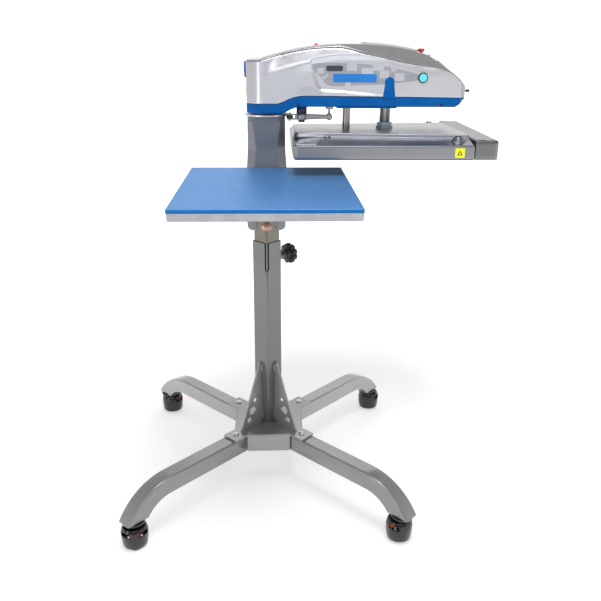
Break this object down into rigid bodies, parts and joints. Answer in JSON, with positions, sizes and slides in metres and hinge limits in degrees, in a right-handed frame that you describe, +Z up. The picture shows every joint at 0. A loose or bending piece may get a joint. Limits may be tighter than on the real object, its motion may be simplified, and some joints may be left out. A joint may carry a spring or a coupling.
{
  "type": "heat press",
  "caption": "Pneumatic swing-away heat press with a padded lower platen, on a height-adjustable pedestal with curved legs and levelling casters.",
  "frame": {"origin": "on the floor, at the middle of the whole object's plan with the head swung out", "axes": "+Z up, the operator stands on the -Y side, the head is swung out along +X"},
  "size_m": [0.9318, 0.8844, 1.0882],
  "materials": {
    "frame_paint": "satin grey powder coat",
    "zinc": "zinc plated",
    "steel": "ground steel",
    "casting": "painted cast aluminium",
    "platen_alu": "machined cast aluminium",
    "cover_casting": "metallic grey painted casting",
    "silicone": "matt blue silicone",
    "silver_cover": "metallic silver paint",
    "roof_grey": "metallic grey paint",
    "blue_shell": "satin blue",
    "black_plastic": "moulded black",
    "screen_black": "gloss screen",
    "cyan_lens": "translucent cyan",
    "red_plastic": "gloss red",
    "orange_plastic": "moulded orange",
    "bronze": "sintered bronze",
    "brass": "turned brass",
    "caster_rubber": "moulded rubber",
    "nylon": "moulded nylon"
  },
  "bodies": {
    "stand": {"outer_tube": "frame_paint", "base_plate": "frame_paint", "gusset_fins": "frame_paint", "leg_bolts": "zinc", "caster_stems": "zinc", "leg_rear_right": "frame_paint", "leg_rear_left": "frame_paint", "leg_front_left": "frame_paint", "leg_front_right": "frame_paint"},
    "clamp_knob": {"height_knob": "black_plastic"},
    "mast": {"inner_tube": "zinc", "cross_bolt": "zinc", "frame_casting": "casting", "pivot_shaft": "steel", "pivot_ring": "steel", "lower_platen": "platen_alu", "silicone_pad": "silicone", "platen_screws": "steel"},
    "head": {"head_frame": "casting", "pivot_bushes": "bronze", "head_cover": "silver_cover", "roof_panel": "roof_grey", "lower_shell": "blue_shell", "shell_screws": "steel", "touch_screen": "screen_black", "air_cylinder": "platen_alu", "guide_bush": "blue_shell", "button_bezels": "black_plastic", "air_regulator": "brass", "detent_pivot": "blue_shell"},
    "carriage": {"guide_shaft": "steel", "cylinder_rod": "steel", "rod_coupling": "zinc", "platen_cover": "cover_casting", "cover_screws": "steel", "front_bar": "cover_casting", "heater_plate": "platen_alu"},
    "left_button": {"start_button_left": "cyan_lens"},
    "right_button": {"start_button_right": "cyan_lens"},
    "roof_button": {"release_button": "red_plastic"},
    "pressure_knob": {"regulator_knob": "blue_shell"},
    "toggle": {"nose_toggle": "black_plastic"},
    "detent_lever": {"detent_arm": "platen_alu"},
    "detent_wheel": {"detent_roller": "black_plastic"},
    "swivel_rear_right": {"caster_housing_rear_right": "black_plastic"},
    "wheel_rear_right": {"caster_wheel_rear_right": "nylon"},
    "thumb_rear_right": {"thumbwheel_rear_right": "orange_plastic"},
    "foot_rear_right": {"levelling_foot_rear_right": "caster_rubber"},
    "swivel_rear_left": {"caster_housing_rear_left": "black_plastic"},
    "wheel_rear_left": {"caster_wheel_rear_left": "nylon"},
    "thumb_rear_left": {"thumbwheel_rear_left": "orange_plastic"},
    "foot_rear_left": {"levelling_foot_rear_left": "caster_rubber"},
    "swivel_front_left": {"caster_housing_front_left": "black_plastic"},
    "wheel_front_left": {"caster_wheel_front_left": "nylon"},
    "thumb_front_left": {"thumbwheel_front_left": "orange_plastic"},
    "foot_front_left": {"levelling_foot_front_left": "caster_rubber"},
    "swivel_front_right": {"caster_housing_front_right": "black_plastic"},
    "wheel_front_right": {"caster_wheel_front_right": "nylon"},
    "thumb_front_right": {"thumbwheel_front_right": "orange_plastic"},
    "foot_front_right": {"levelling_foot_front_right": "caster_rubber"}
  },
  "joints": [
    {"name": "clamp_turn", "type": "hinge", "parent": "stand", "child": "clamp_knob", "pos_m": [-0.12335, -0.09594, 0.588], "axis": [0.7071, 0.7071, 0], "range_deg": [0, 360]},
    {"name": "height_slide", "type": "slide", "parent": "stand", "child": "mast", "axis": [0, 0, 1], "range_m": [-0.02, 0.12]},
    {"name": "head_swing", "type": "hinge", "parent": "mast", "child": "head", "pos_m": [-0.12335, 0.23206, 0.908], "axis": [0, 0, 1], "range_deg": [-90, 0]},
    {"name": "press_stroke", "type": "slide", "parent": "head", "child": "carriage", "axis": [0, 0, 1], "range_m": [-0.0395, 0], "stiffness_N_per_m": 2000, "springref_m": 0.165},
    {"name": "left_button_push", "type": "slide", "parent": "head", "child": "left_button", "axis": [0, 1, 0], "range_m": [0, 0.002], "stiffness_N_per_m": 600, "springref_m": -0.004},
    {"name": "right_button_push", "type": "slide", "parent": "head", "child": "right_button", "axis": [0, -1, 0], "range_m": [0, 0.002], "stiffness_N_per_m": 600, "springref_m": -0.004},
    {"name": "release_push", "type": "slide", "parent": "head", "child": "roof_button", "axis": [0, 0, -1], "range_m": [0, 0.002], "stiffness_N_per_m": 600, "springref_m": -0.004},
    {"name": "pressure_turn", "type": "hinge", "parent": "head", "child": "pressure_knob", "pos_m": [-0.17485, 0.23206, 1.022], "axis": [-1, 0, 0], "range_deg": [-135, 135]},
    {"name": "toggle_rock", "type": "hinge", "parent": "head", "child": "toggle", "pos_m": [0.40665, 0.23206, 0.969], "axis": [0, 1, 0], "range_deg": [-12, 12]},
    {"name": "detent_lift", "type": "hinge", "parent": "head", "child": "detent_lever", "pos_m": [-0.02735, 0.20406, 0.901], "axis": [0, 0, 1], "range_deg": [0, 6], "stiffness_Nm_per_rad": 6, "springref_deg": -8.59},
    {"name": "roller_spin", "type": "hinge", "parent": "detent_lever", "child": "detent_wheel", "pos_m": [-0.05975, 0.20406, 0.901], "axis": [0, 0, 1], "continuous": true},
    {"name": "swivel_rear_right", "type": "hinge", "parent": "stand", "child": "swivel_rear_right", "pos_m": [0.18636, 0.21377, 0.058], "axis": [0, 0, 1], "continuous": true},
    {"name": "roll_rear_right", "type": "hinge", "parent": "swivel_rear_right", "child": "wheel_rear_right", "pos_m": [0.18194, 0.21291, 0.017], "axis": [-0.1908, 0.9816, 0], "continuous": true},
    {"name": "thumb_rear_right", "type": "hinge", "parent": "swivel_rear_right", "child": "thumb_rear_right", "pos_m": [0.2055, 0.21749, 0.041], "axis": [0, 0, 1], "range_deg": [0, 720]},
    {"name": "level_rear_right", "type": "slide", "parent": "swivel_rear_right", "child": "foot_rear_right", "axis": [0, 0, 1], "range_m": [0, 0.004]},
    {"name": "swivel_rear_left", "type": "hinge", "parent": "stand", "child": "swivel_rear_left", "pos_m": [-0.43306, 0.21377, 0.058], "axis": [0, 0, 1], "continuous": true},
    {"name": "roll_rear_left", "type": "hinge", "parent": "swivel_rear_left", "child": "wheel_rear_left", "pos_m": [-0.43748, 0.21291, 0.017], "axis": [-0.1908, 0.9816, 0], "continuous": true},
    {"name": "thumb_rear_left", "type": "hinge", "parent": "swivel_rear_left", "child": "thumb_rear_left", "pos_m": [-0.41392, 0.21749, 0.041], "axis": [0, 0, 1], "range_deg": [0, 720]},
    {"name": "level_rear_left", "type": "slide", "parent": "swivel_rear_left", "child": "foot_rear_left", "axis": [0, 0, 1], "range_m": [0, 0.004]},
    {"name": "swivel_front_left", "type": "hinge", "parent": "stand", "child": "swivel_front_left", "pos_m": [-0.43306, -0.40566, 0.058], "axis": [0, 0, 1], "continuous": true},
    {"name": "roll_front_left", "type": "hinge", "parent": "swivel_front_left", "child": "wheel_front_left", "pos_m": [-0.43392, -0.40124, 0.017], "axis": [0.9816, 0.1908, 0], "continuous": true},
    {"name": "thumb_front_left", "type": "hinge", "parent": "swivel_front_left", "child": "thumb_front_left", "pos_m": [-0.42934, -0.4248, 0.041], "axis": [0, 0, 1], "range_deg": [0, 720]},
    {"name": "level_front_left", "type": "slide", "parent": "swivel_front_left", "child": "foot_front_left", "axis": [0, 0, 1], "range_m": [0, 0.004]},
    {"name": "swivel_front_right", "type": "hinge", "parent": "stand", "child": "swivel_front_right", "pos_m": [0.18636, -0.40566, 0.058], "axis": [0, 0, 1], "continuous": true},
    {"name": "roll_front_right", "type": "hinge", "parent": "swivel_front_right", "child": "wheel_front_right", "pos_m": [0.19078, -0.4048, 0.017], "axis": [0.1908, -0.9816, 0], "continuous": true},
    {"name": "thumb_front_right", "type": "hinge", "parent": "swivel_front_right", "child": "thumb_front_right", "pos_m": [0.16722, -0.40938, 0.041], "axis": [0, 0, 1], "range_deg": [0, 720]},
    {"name": "level_front_right", "type": "slide", "parent": "swivel_front_right", "child": "foot_front_right", "axis": [0, 0, 1], "range_m": [0, 0.004]}
  ],
  "couplings": [
    {"joint": "thumb_rear_right", "follows": "level_rear_right", "rad_per_m": 3141.6},
    {"joint": "thumb_rear_left", "follows": "level_rear_left", "rad_per_m": 3141.6},
    {"joint": "thumb_front_left", "follows": "level_front_left", "rad_per_m": 3141.6},
    {"joint": "thumb_front_right", "follows": "level_front_right", "rad_per_m": 3141.6}
  ]
}
